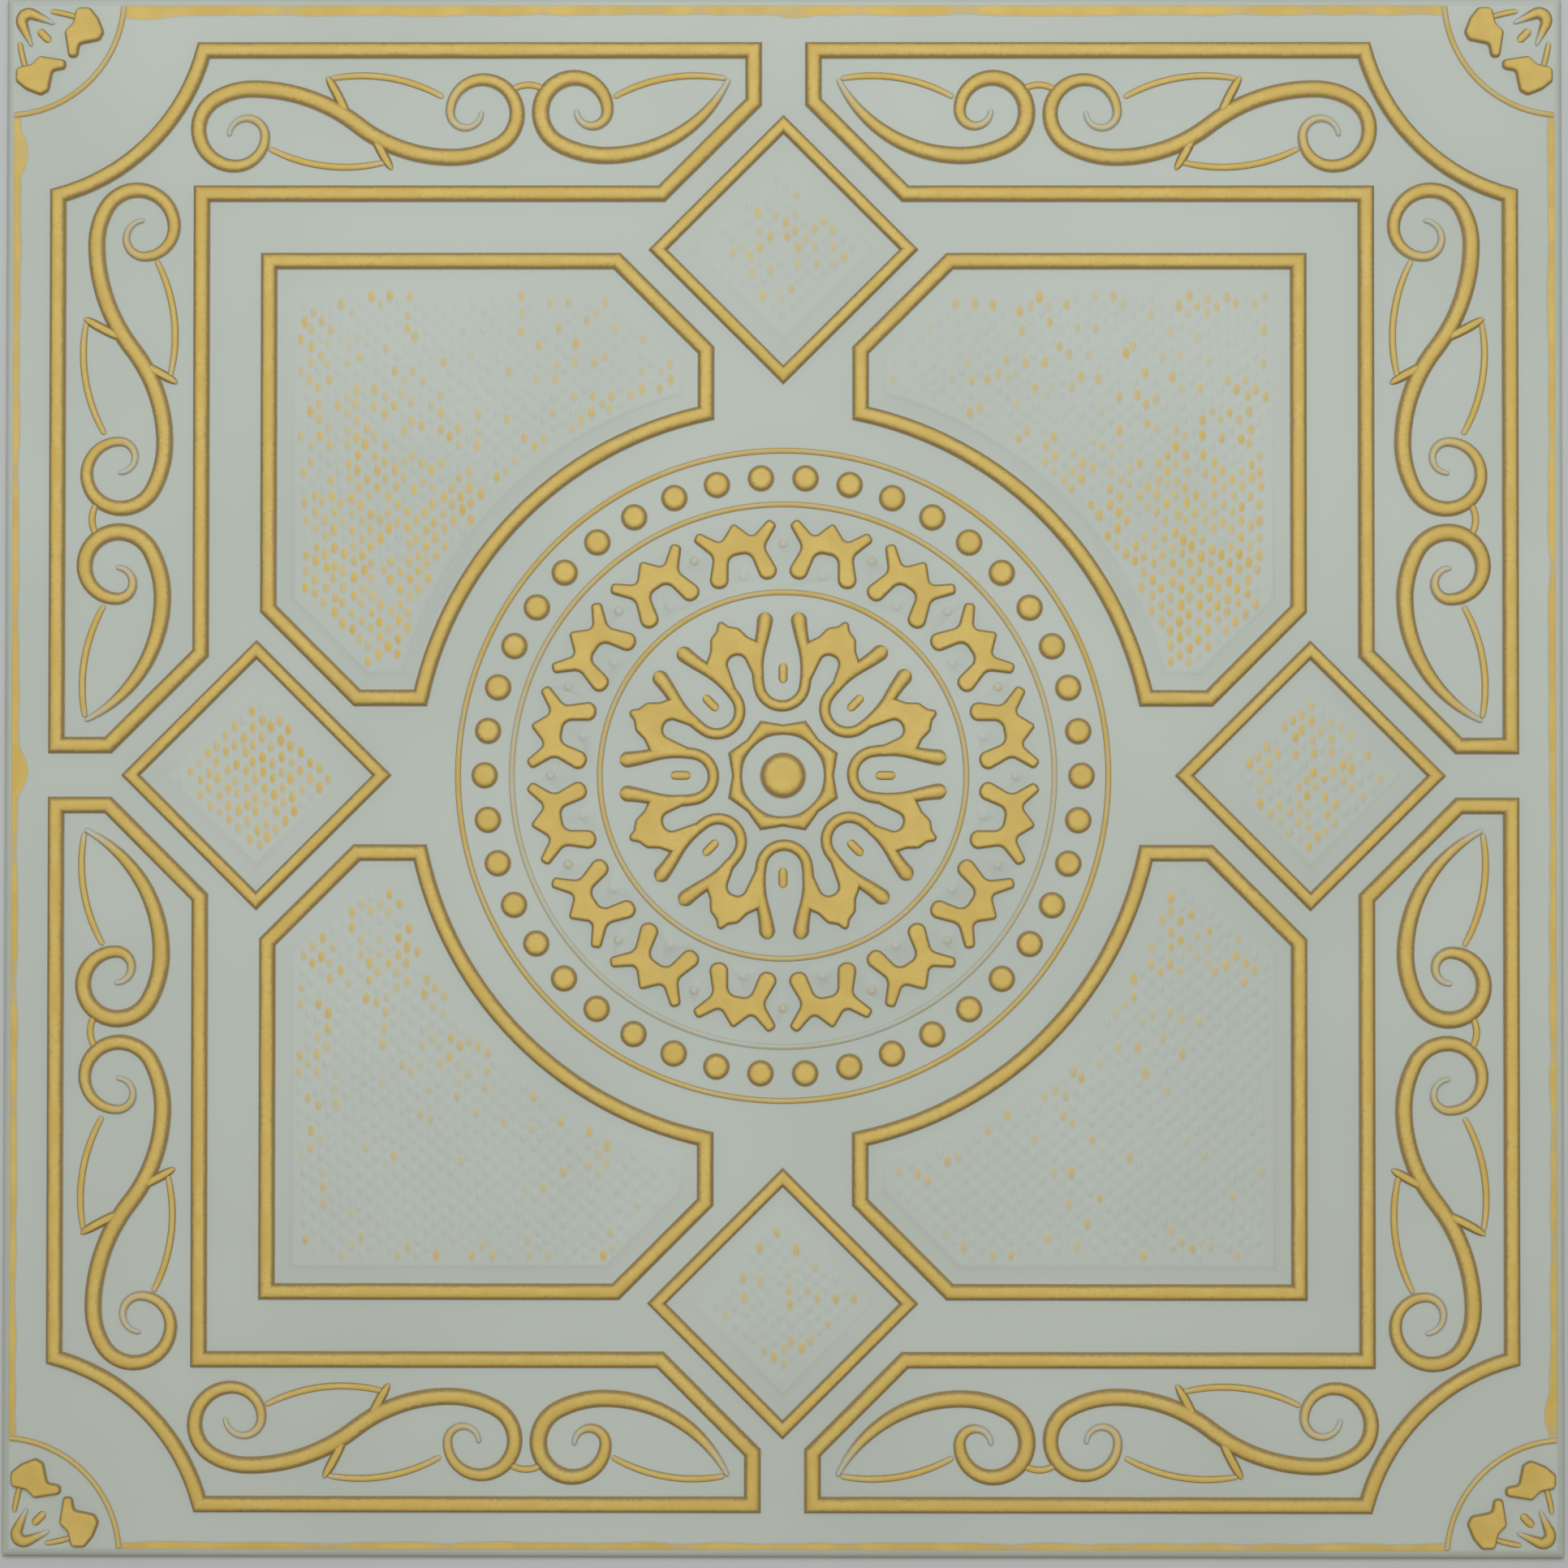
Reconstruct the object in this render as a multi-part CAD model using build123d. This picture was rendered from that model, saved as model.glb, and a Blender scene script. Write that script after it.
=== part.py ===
"""Moulded polystyrene ceiling tile: a thin square foam sheet with a pressed ornament on its face.

Millimetres. The origin is the centre of the flat back, +Z points out of the ornamented face, and
the sides of the tile lie along X and Y. The whole tile is one moulding, so it is one solid.
"""
from build123d import *
import math
import os

# Sheet
tile_side = 500.0
sheet_thickness = 4.0
rim_thickness = 2.2
rim_bevel = 2.6

# Rails: the raised lines that frame the ornament, placed by their centre lines
rail_width = 5.6
rail_height = 2.4
rail_lean = 1.5
frame_inset = 16.9
frame_band = 46.2
frame_half_gap = 9.6
frame_corner_radius = 65.8
panel_inset = 84.8
panel_half_gap = 24.8
diamond_inset = 81.1
diamond_reach = 40.3
diamond_rail_width = 4.6
diamond_gap = 11.9
pad_margin = 8.7
pad_height = 0.4

# Medallion rings and beads
outer_ring_radius = 104.25
inner_ring_radius = 87.0
rosette_ring_radius = 58.75
corner_ring_radius = 37.8
ring_width = 2.0
ring_crown = 1.0
ring_height = 0.9
panel_arc_margin = 14.65
bead_count = 42
bead_sides = 9
bead_diameter = 8.9
bead_lean = 1.7
bead_height = 1.9

# Rosette and palmettes
leaf_height = 2.2
leaf_lean = 0.5
loop_count = 8
loop_width = 4.4
loop_end_width = 2.8
eye_width = 2.8
eye_length = 6.4
eye_distance = 32.8
eye_sides = 8
palmette_count = 16
star_tip_radius = 19.2
star_valley_radius = 16.4
star_bore_radius = 13.0
boss_radius = 7.6
boss_height = 2.4

# Scrolls
scroll_width = 5.8
scroll_end_width = 1.8
scroll_height = 2.0
scroll_lean = 0.75
sprig_width = 3.2
sprig_end_width = 1.6
sprig_height = 1.6
tendril_width = 2.2
tendril_height = 0.8
tendril_lean = 0.6

# Round stretches and rounded corners of the small ornament are cut in flats, each turning by at most this
flat_turn = 40.0
corner_turn = 90.0

# A stroke is a chain of tangent arcs: its start point and heading, then (radius, turn in degrees) of each
# arc, a left turn being positive. Scrolls lie in the frame of their arm: X along it, origin in its middle.
volute = [(31.5, 28), (11.7, 62), (11.0, 90), (10.5, 90), (5.0, 165)]
s_scroll = (
    (-80.0, -4.6), 90,
    [(5.8, -180), (9.6, -90), (11.8, -90), (11.5, -60), (23.3, -30), (55.0, -38), (49.0, 38)] + volute,
)
c_scroll = ((80.8, 14.0), -116, [(44.1, -64)] + [(radius, -turn) for radius, turn in volute])
sprigs = [
    ((-42.2, 2.4), 112, [(90.0, 9)]),
    ((-34.0, -3.0), -68, [(90.0, 9)]),
]
tendrils = [
    ((-47.3, 14.0), 11, [(52.4, -41)]),
    ((-67.3, -8.4), -28, [(52.4, 40)]),
    ((79.8, 14.0), 169, [(52.4, 41)]),
    ((10.4, 9.9), 40, [(9.0, -80)]),
]

# Loops point along the Y axis, away from the middle of their rosette
loop_route = ((-5.6, 51.4), -94, [(54.0, -10), (33.4, 24), (7.4, 160), (33.4, 24), (54.0, -10)])
corner_loop = ((-4.2, 17.5), -90, [(60.0, 4), (4.06, 172), (60.0, 4)])

# Half outlines right of the Y axis, Y being the distance from the medallion's centre:
# (x, y, corner radius), from the point at the tip round to the middle of the foot
leaf_tip = 53.2
leaf_half = [(5.6, 48.3, 5.0), (7.9, 43.4, 0.9), (6.2, 34.0, 0), (2.5, 33.0, 0), (2.5, 41.2, 2.4)]
palmette_tip = 82.0
palmette_half = [
    (5.2, 76.8, 1.0), (11.5, 81.2, 0.9), (13.6, 79.2, 0.9), (8.6, 72.8, 2.5),
    (11.6, 63.6, 2.2), (6.0, 62.0, 2.0), (3.2, 72.1, 2.6),
]

# Leaf, tendril and eye of the quarter rosettes, measured from the tile's corner along its two sides
corner_leaf = [
    (26.4, -2.4, 1.5), (23.4, -3.2, 1.5), (19.3, -10.4, 2.5), (20.5, -18.6, 0.9),
    (22.9, -18.2, 0.9), (23.2, -15.1, 1.2), (31.4, -12.0, 1.5),
]
corner_tendril = ((14.6, -4.2), 4, [(52.4, -8)])
corner_eye = (12.2, -12.2)

# Values that follow
half_side = tile_side / 2
outer_rail = half_side - frame_inset
inner_rail = outer_rail - frame_band
panel_rail = half_side - panel_inset
diamond_centre = half_side - diamond_inset
diamond_half = diamond_reach / math.sqrt(2)
panel_arc_radius = outer_ring_radius + panel_arc_margin
bead_circle = (outer_ring_radius + inner_ring_radius) / 2
arm_middle = -(inner_rail + frame_half_gap) / 2
band_middle = (outer_rail + inner_rail) / 2
field = Plane.XY.offset(sheet_thickness)
upper_left = Pos(-half_side, half_side)
diagonal = Plane(origin=(0, 0, 0), z_dir=(1, 1, 0))


def inset(points, distance):
    """Corners of an outline whose sides have all moved inwards by the same distance."""
    moved = []
    for k, corner in enumerate(points):
        before = (corner - points[k - 1]).normalized()
        after = (points[(k + 1) % len(points)] - corner).normalized()
        mitre = (before + after).rotate(Axis.Z, 90) / (1 + before.dot(after))
        moved.append(corner + mitre * distance)
    return moved


def mound(points, height, lean):
    """Ornament on the field with flat sides that lean in to a flat crown, from its outline's corners."""
    foot = [Vector(*point) + Vector(0, 0, sheet_thickness) for point in points]
    crown = [corner + Vector(0, 0, height) for corner in inset(foot, lean)]
    loops = [foot, crown]
    for k in range(len(foot)):
        loops.append([foot[k - 1], foot[k], crown[k], crown[k - 1]])
    return Solid(Shell([Face(Wire.make_polygon(loop)) for loop in loops]))


def frustum(shape, half, lean, height):
    """Block on the field with leaning sides, over a shape that is drawn from its half width."""
    foot = field * shape(half)
    crown = field.offset(height) * shape(half - lean)
    return loft([foot.face(), crown.face()], ruled=True).solid()


def cone(radius, lean, height):
    """Round block on the field with a leaning side."""
    return Pos(0, 0, sheet_thickness) * Cone(
        radius, radius - lean, height, align=(Align.CENTER, Align.CENTER, Align.MIN))


def square(half):
    """Square centred on the tile."""
    return Rectangle(2 * half, 2 * half)


def strip(half):
    """Upright strip through the tile's middle."""
    return Rectangle(2 * half, 2 * tile_side)


def diamond(half):
    """Square set on its corner, towards the middle of the tile's upper side."""
    return Pos(0, diamond_centre) * Rot(0, 0, 45) * square(half)


def diamond_blocks(out, lean, height):
    """The four diamonds, their outlines moved outwards by a distance."""
    return round_copies(frustum(diamond, diamond_half + out, lean, height), 4, 0)


def frame_blocks(out, lean, height):
    """Four angles between the outer and inner rails, hollowed at the tile's corners and the diamonds."""
    cuts = [frustum(square, inner_rail - out, -lean, height)]
    cuts += round_copies(frustum(strip, frame_half_gap - out, -lean, height), 2, 0)
    cuts += round_copies(upper_left * cone(frame_corner_radius - out, -lean, height), 4, 0)
    cuts += diamond_blocks(diamond_gap - out, -lean, height)
    return frustum(square, outer_rail + out, lean, height) - cuts


def panel_blocks(out, lean, height):
    """Four panels round the medallion, cut back along the diamonds and the medallion's margin."""
    cuts = [cone(panel_arc_radius - out, -lean, height)]
    cuts += round_copies(frustum(strip, panel_half_gap - out, -lean, height), 2, 0)
    cuts += diamond_blocks(diamond_gap - out, -lean, height)
    return frustum(square, panel_rail + out, lean, height) - cuts


def rails(blocks, width):
    """Ridges with leaning sides along the outlines of blocks."""
    outside = blocks(width / 2, rail_lean, rail_height)
    inside = blocks(-width / 2, -rail_lean, rail_height)
    return (Part() + outside - inside).solids()


def pads(blocks):
    """Slightly raised beds for the stipple, inside rails."""
    return (Part() + blocks(-pad_margin, pad_height, pad_height)).solids()


def ring(radius):
    """Thin turned ridge round the Z axis."""
    top = sheet_thickness + ring_height
    section = Polygon(
        (radius - ring_width / 2, sheet_thickness), (radius + ring_width / 2, sheet_thickness),
        (radius + ring_crown / 2, top), (radius - ring_crown / 2, top), align=None)
    return revolve(Plane.XZ * section, Axis.Z).solid()


def chain(start, heading, legs):
    """Points of a chain of tangent arcs, cut into flats, each as (x, y, heading, length so far)."""
    x, y = start
    length = 0.0
    stations = [(x, y, heading, length)]
    for radius, turn in legs:
        count = math.ceil(abs(turn) / flat_turn)
        step = turn / count
        chord = 2 * radius * math.sin(math.radians(abs(step)) / 2)
        for _ in range(count):
            x += chord * math.cos(math.radians(heading + step / 2))
            y += chord * math.sin(math.radians(heading + step / 2))
            heading += step
            length += chord
            stations.append((x, y, heading, length))
    return stations


def stroke(route, width, end_width, height, lean):
    """Ridge along a chain of arcs, widest midway."""
    stations = chain(*route)
    total = stations[-1][3]
    left = []
    right = []
    for x, y, heading, length in stations:
        fall = (2 * length / total - 1) ** 4
        across = Vector(0, 1).rotate(Axis.Z, heading) * (width - (width - end_width) * fall) / 2
        left.append(Vector(x, y) + across)
        right.append(Vector(x, y) - across)
    return mound(right + left[::-1], height, lean)


def flat_sided(corners):
    """Outline with rounded corners, their arcs cut into flats."""
    line = FilletPolyline(*[(x, y) for x, y, radius in corners], radius=[c[2] for c in corners], close=True)
    points = []
    for edge in Wire(line.edges()).order_edges():
        turn = math.degrees(edge.length / edge.radius) if edge.geom_type == GeomType.CIRCLE else corner_turn
        count = math.ceil(turn / corner_turn)
        points += [edge @ (k / count) for k in range(count)]
    return points


def mirrored_outline(half, tip):
    """Closed outline from its right half, pointed at its tip."""
    left = [(-x, y, radius) for x, y, radius in half]
    return flat_sided([(0, tip, 0)] + left + half[::-1])


def round_copies(shape, count, first):
    """Equal copies about the tile's middle, the first turned by the given angle."""
    return [Rot(0, 0, first + k * 360 / count) * shape for k in range(count)]


def oval(width, length, sides):
    """Corners of a many-sided oval about the origin, its length along Y."""
    turns = [2 * math.pi * k / sides for k in range(sides)]
    return [Vector(width / 2 * math.cos(turn), length / 2 * math.sin(turn)) for turn in turns]


def bead():
    """Low button between the two outer rings."""
    outline = oval(bead_diameter, bead_diameter, bead_sides)
    return Pos(bead_circle, 0, 0) * mound(outline, bead_height, bead_lean)


def eye(width, length):
    """Small drop inside a loop."""
    return mound(oval(width, length, eye_sides), tendril_height, tendril_lean)


def loop(route, width, end_width, height):
    """U-shaped loop of a rosette: a round foot with two arms."""
    return stroke(route, width, end_width, height, leaf_lean)


def star_ring():
    """Ring with a point between every two loops, bored out with leaning sides."""
    points = []
    for k in range(2 * loop_count):
        radius = star_tip_radius if k % 2 else star_valley_radius
        points.append(Vector(0, radius).rotate(Axis.Z, 180 * k / loop_count))
    return mound(points, leaf_height, leaf_lean) - cone(star_bore_radius, -leaf_lean, leaf_height)


def boss():
    """Domed button in the middle of the tile, the cap of a ball."""
    ball_radius = (boss_radius ** 2 + boss_height ** 2) / (2 * boss_height)
    ball_centre = sheet_thickness + boss_height - ball_radius
    rim_angle = math.degrees(math.asin((ball_radius - boss_height) / ball_radius))
    side = CenterArc((0, ball_centre), ball_radius, rim_angle, 90 - rim_angle)
    foot = (0, sheet_thickness)
    section = make_face([side, Line(side @ 1, foot), Line(foot, side @ 0)])
    return revolve(Plane.XZ * section, Axis.Z).solid()


def medallion():
    """Beads between rings, a ring of palmettes, and a rosette of looped leaves round a boss."""
    palmette = mound(mirrored_outline(palmette_half, palmette_tip), leaf_height, leaf_lean)
    leaf = mound(mirrored_outline(leaf_half, leaf_tip), leaf_height, leaf_lean)
    pieces = [ring(radius) for radius in (outer_ring_radius, inner_ring_radius, rosette_ring_radius)]
    pieces += [star_ring(), boss()]
    pieces += round_copies(bead(), bead_count, 0)
    pieces += round_copies(palmette, palmette_count, 180 / palmette_count)
    pieces += round_copies(leaf, loop_count, 180 / loop_count)
    pieces += round_copies(loop(loop_route, loop_width, loop_end_width, leaf_height), loop_count, 0)
    pieces += round_copies(Pos(0, eye_distance, 0) * eye(eye_width, eye_length), loop_count, 0)
    return pieces


def tendril(route):
    """Thin low stroke of even width."""
    return stroke(route, tendril_width, tendril_width, tendril_height, tendril_lean)


def arm_scrolls():
    """The scrollwork of one frame arm: an S and a C scroll, two sprigs and thin tendrils."""
    strokes = [stroke(route, scroll_width, scroll_end_width, scroll_height, scroll_lean)
               for route in (s_scroll, c_scroll)]
    strokes += [stroke(route, sprig_width, sprig_end_width, sprig_height, tendril_lean) for route in sprigs]
    strokes += [tendril(route) for route in tendrils]
    return [Pos(arm_middle, band_middle, 0) * shape for shape in strokes]


def corner_ornament():
    """Quarter rosette in the tile's upper left corner, inside a quarter of a thin ring."""
    leaf = mound(flat_sided(corner_leaf), leaf_height, leaf_lean)
    pieces = [leaf, tendril(corner_tendril)]
    pieces += [mirror(shape, diagonal) for shape in pieces]
    pieces.append(Rot(0, 0, -135) * loop(corner_loop, sprig_width, sprig_end_width, sprig_height))
    pieces.append(Pos(*corner_eye) * eye(eye_width, eye_width))
    face = Box(tile_side, tile_side, tile_side, align=(Align.MIN, Align.MAX, Align.CENTER))
    pieces.append((ring(corner_ring_radius) & (Pos(rim_bevel, -rim_bevel, 0) * face)).solid())
    return [upper_left * shape for shape in pieces]


def sheet():
    """Square foam sheet whose face slopes down to a thinner rim."""
    rim = extrude(square(half_side), rim_thickness)
    rise = sheet_thickness - rim_thickness
    slope = math.degrees(math.atan(rim_bevel / rise))
    return rim + extrude(Plane.XY.offset(rim_thickness) * square(half_side), rise, taper=slope)


def ceiling_tile():
    """The sheet with its whole ornament, as one moulding."""
    relief = rails(frame_blocks, rail_width) + rails(panel_blocks, rail_width)
    relief += rails(diamond_blocks, diamond_rail_width)
    relief += pads(panel_blocks) + pads(diamond_blocks)
    relief += medallion()
    arm = arm_scrolls()
    quarter = arm + [mirror(shape, diagonal) for shape in arm] + corner_ornament()
    relief += [Rot(0, 0, 90 * k) * shape for k in range(4) for shape in quarter]
    return sheet().fuse(*relief)


os.makedirs("parts", exist_ok=True)
tile = ceiling_tile()
tile.label = "ceiling_tile"
export_step(tile, "parts/ceiling_tile.step")
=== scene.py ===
"""Looks of a pressed polystyrene ceiling tile, laid out as an add-on and run as a script.

The packed model gives the tile's box. The ornamented face is worked out here with numpy as closed
surfaces, joined with the sheet into one skin and painted by a procedural material. Lengths are in
metres in the tile's own frame: +Z points out of the face, and +Y to the upper side of the pattern.
"""
import math
from collections import namedtuple

import bpy
import numpy as np
from bpy.props import FloatProperty, FloatVectorProperty, IntProperty, PointerProperty
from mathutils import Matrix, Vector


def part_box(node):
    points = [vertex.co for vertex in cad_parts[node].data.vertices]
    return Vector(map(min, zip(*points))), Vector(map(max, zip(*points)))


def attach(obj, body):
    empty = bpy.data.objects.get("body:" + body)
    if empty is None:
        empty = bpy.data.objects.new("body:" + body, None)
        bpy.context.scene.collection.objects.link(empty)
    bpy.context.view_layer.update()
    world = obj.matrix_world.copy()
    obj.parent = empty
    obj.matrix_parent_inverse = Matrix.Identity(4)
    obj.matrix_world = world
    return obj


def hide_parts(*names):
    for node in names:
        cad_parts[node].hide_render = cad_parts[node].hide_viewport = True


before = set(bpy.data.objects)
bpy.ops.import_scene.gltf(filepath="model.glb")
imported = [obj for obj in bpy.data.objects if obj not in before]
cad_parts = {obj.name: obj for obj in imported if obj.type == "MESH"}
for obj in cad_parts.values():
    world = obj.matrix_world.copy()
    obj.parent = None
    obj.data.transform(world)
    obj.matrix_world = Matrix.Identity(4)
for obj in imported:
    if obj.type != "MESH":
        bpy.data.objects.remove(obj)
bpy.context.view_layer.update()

bl_info = {
    "name": "Pressed ceiling tile",
    "version": (1, 0, 0),
    "blender": (4, 5, 0),
    "location": "View3D > Sidebar > Tile",
    "description": "Builds the ornamented face, the stipple and the stage of a pressed foam ceiling tile",
    "category": "Object",
}

MM = 0.001
LOWEST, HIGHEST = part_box("ceiling_tile")
SIDE = HIGHEST.x - LOWEST.x
HALF = SIDE / 2
ROOT_DEPTH = 0.8 * MM
ARC_STEP = 7.5
FILLET_STEP = 10.0
STATION_PITCH = 1.6 * MM
END_STATIONS = 6
HOLLOW_POINTS = 29
CREASE = math.radians(38)
PAINT = "paint"
CROWN = "crown"

# A stroke is a chain of tangent arcs: its start (mm) and heading (degrees), then (radius in mm, turn in
# degrees) of each arc, a left turn being positive. Scrolls lie in the frame of their arm of the upper
# left angle: X along the arm, origin in its middle. Loops point along +Y from the middle of their rosette.
VOLUTE = [(31.5, 28), (11.7, 62), (11.0, 90), (10.5, 90), (5.0, 185)]
S_SCROLL = (
    (-80.0, -4.6), 90,
    [(5.8, -180), (9.6, -90), (11.8, -90), (11.5, -60), (23.3, -30), (55.0, -38), (49.0, 38)] + VOLUTE,
)
C_SCROLL = ((80.8, 14.0), -116, [(44.1, -64)] + [(radius, -turn) for radius, turn in VOLUTE])
SPRIGS = [
    ((-41.5, 0.8), 112, [(90.0, 10)]),
    ((-34.7, -1.4), -68, [(90.0, 10)]),
]
TENDRILS = [
    ((-47.3, 14.0), 11, [(52.4, -41)]),
    ((-67.3, -8.4), -28, [(52.4, 43)]),
    ((79.8, 14.0), 169, [(52.4, 41)]),
    ((10.4, 9.9), 40, [(9.0, -80)]),
]
LOOP = ((-5.6, 52.3), -94, [(58.0, -10), (33.4, 24), (7.4, 160), (33.4, 24), (58.0, -10)])
EYE = ((0.0, 29.6), 90, [(900.0, 0.41)])
CORNER_LOOP = ((-5.0, 16.8), -70, [(215.0, 2), (2.6, 136), (215.0, 2)])
CORNER_EYE = ((10.2, -10.2), -45, [(900.0, 0.35)])
CORNER_TENDRIL = ((14.0, -4.2), -8, [(52.4, -10)])

# Outlines with rounded corners as rows of x, y and corner radius in mm, counter-clockwise. The first two
# are right halves about their axis, +Y away from the medallion's middle, from the foot to the tip. The
# corner leaf is measured from the tile's upper left corner.
LEAF_TIP = (0.0, 54.6, 1.4)
LEAF_HALF = [
    (2.7, 41.2, 2.6), (3.3, 30.4, 1.4), (6.4, 31.2, 1.4), (10.1, 41.7, 1.4),
    (6.6, 45.6, 2.0), (5.0, 49.3, 2.5), (2.2, 51.0, 1.5),
]
PALMETTE_TIP = (0.0, 82.9, 1.4)
PALMETTE_HALF = [
    (3.4, 72.0, 2.8), (5.4, 62.1, 2.9), (12.0, 63.1, 2.9), (8.5, 73.0, 3.0),
    (13.9, 79.3, 1.5), (11.6, 82.0, 1.5), (5.2, 77.1, 1.8),
]
CORNER_LEAF = [
    (27.0, -2.9, 2.0), (22.3, -2.9, 2.0), (21.2, -8.0, 2.2), (18.5, -10.6, 1.8), (19.9, -19.4, 1.6),
    (23.1, -19.4, 1.6), (23.8, -15.2, 1.4), (30.2, -13.9, 2.0), (31.7, -11.2, 2.0), (29.8, -6.4, 3.0),
]

# Where the paint roller pressed hardest on the stipple: x, y, reach in mm, and the share of tips painted
ROLLER_PATCHES = [
    (-152, 62, 38, 1.0), (-128, 45, 32, 1.0), (-108, 82, 20, 0.7), (-145, 100, 34, 0.5), (-120, 125, 30, 0.25),
    (-60, 128, 20, 0.35), (-155, 140, 16, 0.3),
    (130, 52, 36, 1.0), (152, 80, 32, 0.8), (110, 80, 24, 0.6), (135, 112, 30, 0.35), (155, 140, 18, 0.25),
    (85, 140, 20, 0.2),
    (-169, 0, 40, 1.0), (169, 0, 36, 0.75), (0, 169, 24, 0.35), (0, -169, 30, 0.4),
    (-158, -62, 24, 0.6), (-160, -110, 20, 0.45), (-128, -42, 22, 0.6), (-110, -80, 22, 0.25),
    (125, -42, 22, 0.5), (140, -60, 16, 0.3),
]
# Share of tips painted at the panels' outer borders and hollow sides, and how far in it reaches, in mm
BORDER_BAND = (0.6, 5.0)
HOLLOW_BAND = (0.5, 8.0)
STRAY_TIPS = 0.08

# Smears of paint on the edges of the face: x, y, reach along the edge and added width in mm
EDGE_SMEARS = [(-247, 1, 9, 6.5), (-247, 200, 9, 5), (-205, 247, 16, 2), (3, 247, 9, 2.5), (247, -205, 10, 3)]


def length(name, description, millimetres):
    """Property for a length, given in millimetres and kept in metres."""
    return FloatProperty(name=name, description=description, default=millimetres * MM, min=0.0,
                         unit="LENGTH", precision=4)


def share(name, description, value):
    """Property for a share of one."""
    return FloatProperty(name=name, description=description, default=value, min=0.0, max=1.0, subtype="FACTOR")


def colour(name, description, red, green, blue):
    """Property for a colour, given as it looks on a screen, 0 to 255, and kept as linear light."""
    linear = [((c / 255 + 0.055) / 1.055) ** 2.4 for c in (red, green, blue)]
    return FloatVectorProperty(name=name, description=description, default=linear, size=3, min=0.0, max=1.0,
                               subtype="COLOR")


class SheetSizes(bpy.types.PropertyGroup):
    """Sizes of the plain foam sheet."""
    thickness: length("Thickness", "Thickness of the sheet under the ornament", 4.0)
    rim_thickness: length("Rim", "Thickness at the sides of the tile", 2.2)
    rim_bevel: length("Bevel", "Width of the slope from the face down to the rim", 2.6)


class RailSizes(bpy.types.PropertyGroup):
    """Sizes of the raised lines that frame the ornament, placed by their centre lines."""
    width: length("Width", "Width of a rail at its foot", 5.6)
    height: length("Height", "Height of a rail over the face", 2.4)
    frame_inset: length("Frame inset", "From the tile's side to the outer rail", 16.9)
    frame_band: length("Frame band", "From the outer rail to the inner one", 46.2)
    frame_gap: length("Frame gap", "Half the gap between two frame angles", 9.6)
    corner_radius: length("Corner hollow", "Radius of the hollow at a tile's corner", 65.8)
    panel_inset: length("Panel inset", "From the tile's side to the panels", 84.8)
    panel_gap: length("Panel gap", "Half the gap between two panels", 24.8)
    panel_radius: length("Panel hollow", "Radius of the panels' hollow side", 118.9)
    diamond_inset: length("Diamond inset", "From the tile's side to a diamond's middle", 81.1)
    diamond_reach: length("Diamond reach", "From a diamond's middle to its corner", 40.3)
    diamond_width: length("Diamond rail", "Width of a diamond's rail", 4.6)
    clearance: length("Clearance", "From a diamond's rail to the rails beside it", 11.9)
    pad_margin: length("Pad margin", "From a rail to the stippled bed inside it", 7.4)
    pad_height: length("Pad height", "Height of a stippled bed", 0.4)
    pad_edge: length("Pad edge", "Width of a bed's rounded edge", 1.6)


class MedallionSizes(bpy.types.PropertyGroup):
    """Sizes of the rings, beads and rosettes."""
    outer_ring: length("Outer ring", "Radius of the ring outside the beads", 104.25)
    inner_ring: length("Inner ring", "Radius of the ring inside the beads", 87.0)
    rosette_ring: length("Rosette ring", "Radius of the ring round the rosette", 58.75)
    corner_ring: length("Corner ring", "Radius of the rings at the tile's corners", 37.8)
    ring_width: length("Ring width", "Width of a ring at its foot", 1.9)
    ring_height: length("Ring height", "Height of a ring", 0.9)
    bead_count: IntProperty(name="Beads", description="Beads round the medallion", default=42, min=3)
    bead_diameter: length("Bead diameter", "Diameter of a bead", 8.9)
    bead_height: length("Bead height", "Height of a bead", 1.9)
    bead_edge: length("Bead edge", "Width of a bead's rounded edge", 2.2)
    leaf_height: length("Leaf height", "Height of the leaves and palmettes", 2.2)
    leaf_edge: length("Leaf edge", "Width of a leaf's rounded edge", 1.22)
    loop_width: length("Loop width", "Width of the rosette's loops", 4.5)
    star_tip: length("Star tips", "Radius of the star ring's points", 19.2)
    star_valley: length("Star valleys", "Radius between the star ring's points", 16.4)
    star_bore: length("Star bore", "Radius of the star ring's hole", 13.0)
    boss_radius: length("Boss radius", "Radius of the middle button", 7.6)
    boss_height: length("Boss height", "Height of the middle button", 2.3)
    dot_diameter: length("Dot diameter", "Diameter of the dots among the palmettes", 3.4)
    dot_height: length("Dot height", "Height of the dots among the palmettes", 0.5)
    outer_dots: length("Outer dots", "Radius of the ring of dots between palmettes", 74.5)
    inner_dots: length("Inner dots", "Radius of the ring of dots under palmettes", 65.3)


class ScrollSizes(bpy.types.PropertyGroup):
    """Sizes of the scrollwork."""
    width: length("Width", "Width of a scroll at its middle", 6.0)
    end_width: length("End width", "Width of a scroll at its ends", 1.7)
    height: length("Height", "Height of a scroll", 2.0)
    sprig_width: length("Sprig width", "Width of the short leaves on a scroll", 3.4)
    sprig_height: length("Sprig height", "Height of the short leaves", 1.6)
    tendril_width: length("Tendril width", "Width of the thin tendrils", 2.3)
    tendril_height: length("Tendril height", "Height of the thin tendrils", 0.8)


class StippleSizes(bpy.types.PropertyGroup):
    """Sizes of the fine knobs on the beds of panels and diamonds."""
    column_pitch: length("Column pitch", "Between two columns of knobs", 3.0)
    row_pitch: length("Row pitch", "Between two knobs of a column", 5.35)
    width: length("Width", "Width of a knob", 2.6)
    height: length("Height", "Height of a knob", 0.42)
    stretch: FloatProperty(name="Stretch", description="Length of a knob over its width", default=1.75, min=1.0)
    wander: length("Wander", "How far the columns wander sideways", 1.1)
    seed: IntProperty(name="Seed", description="Seed of the uneven places and paint", default=7, min=0)


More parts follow.
